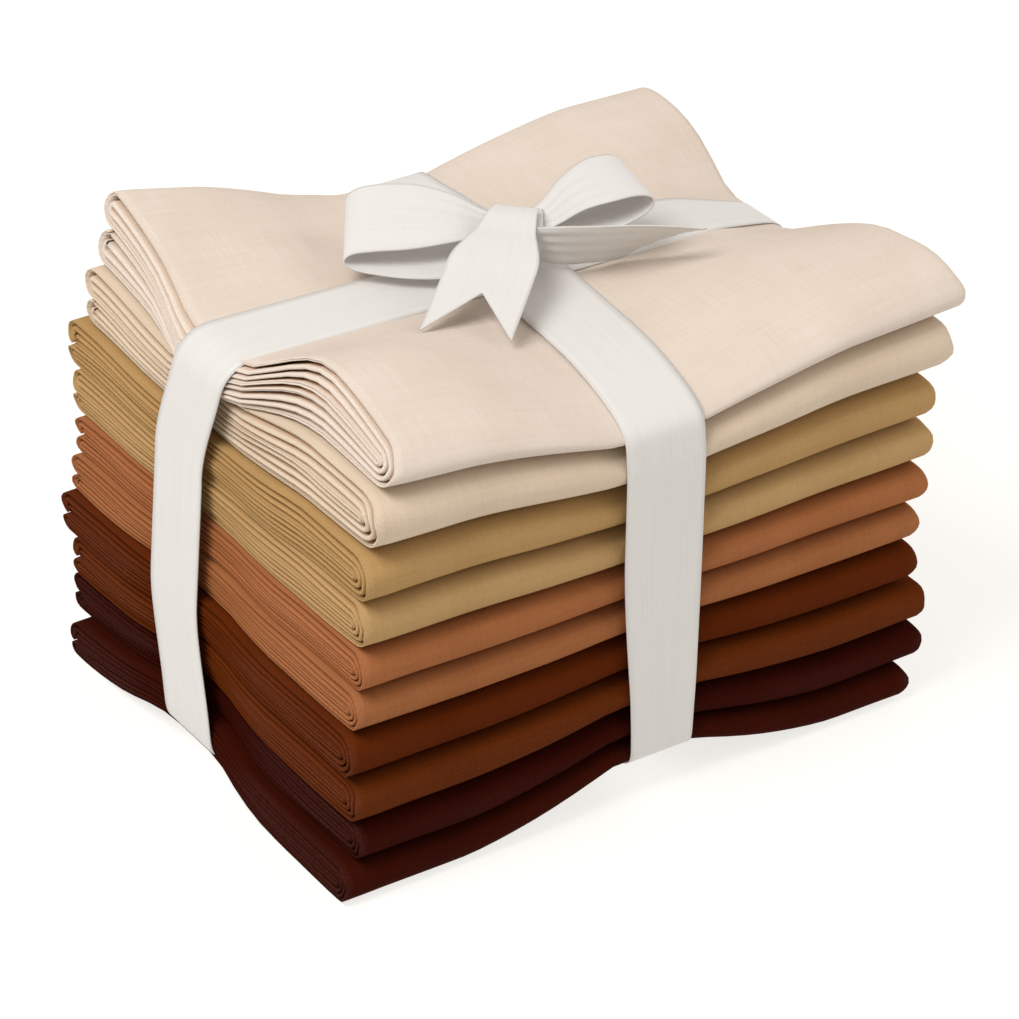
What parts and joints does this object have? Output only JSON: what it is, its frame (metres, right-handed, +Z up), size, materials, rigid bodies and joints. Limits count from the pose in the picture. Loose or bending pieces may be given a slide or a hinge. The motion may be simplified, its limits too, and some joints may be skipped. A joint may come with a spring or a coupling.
{
  "type": "fat quarter bundle",
  "caption": "Stack of folded quilting cotton fat quarters from cream to dark brown, tied crosswise with white satin ribbon and a bow on top.",
  "frame": {"origin": "bottom centre of the whole bundle's box, on the surface that it rests on", "axes": "+X along the folded front edges, the longest way; +Y from the folded front edges to the back; +Z up through the stack"},
  "size_m": [0.1536, 0.1248, 0.1128],
  "materials": {
    "cream": "soft cream plain-woven quilting cotton, matt",
    "light_beige": "light beige plain-woven quilting cotton, matt",
    "tan": "tan plain-woven quilting cotton, matt",
    "khaki": "khaki plain-woven quilting cotton, matt",
    "rosy_brown": "rosy brown plain-woven quilting cotton, matt",
    "russet": "russet plain-woven quilting cotton, matt",
    "brown": "brown plain-woven quilting cotton, matt",
    "chestnut": "chestnut brown plain-woven quilting cotton, matt",
    "dark_brown": "very dark brown plain-woven quilting cotton, matt",
    "darkest_brown": "darkest brown plain-woven quilting cotton, matt",
    "ribbon": "white satin ribbon with a soft sheen"
  },
  "bodies": {
    "root": {"fat_quarter_01": "cream", "fat_quarter_02": "light_beige", "fat_quarter_03": "tan", "fat_quarter_04": "khaki", "fat_quarter_05": "rosy_brown", "fat_quarter_06": "russet", "fat_quarter_07": "brown", "fat_quarter_08": "chestnut", "fat_quarter_09": "dark_brown", "fat_quarter_10": "darkest_brown", "ribbon_lengthwise": "ribbon", "ribbon_crosswise": "ribbon", "bow_knot": "ribbon", "bow_loop_left": "ribbon", "bow_loop_right": "ribbon", "bow_tail_front": "ribbon", "bow_tail_right": "ribbon"}
  },
  "joints": []
}
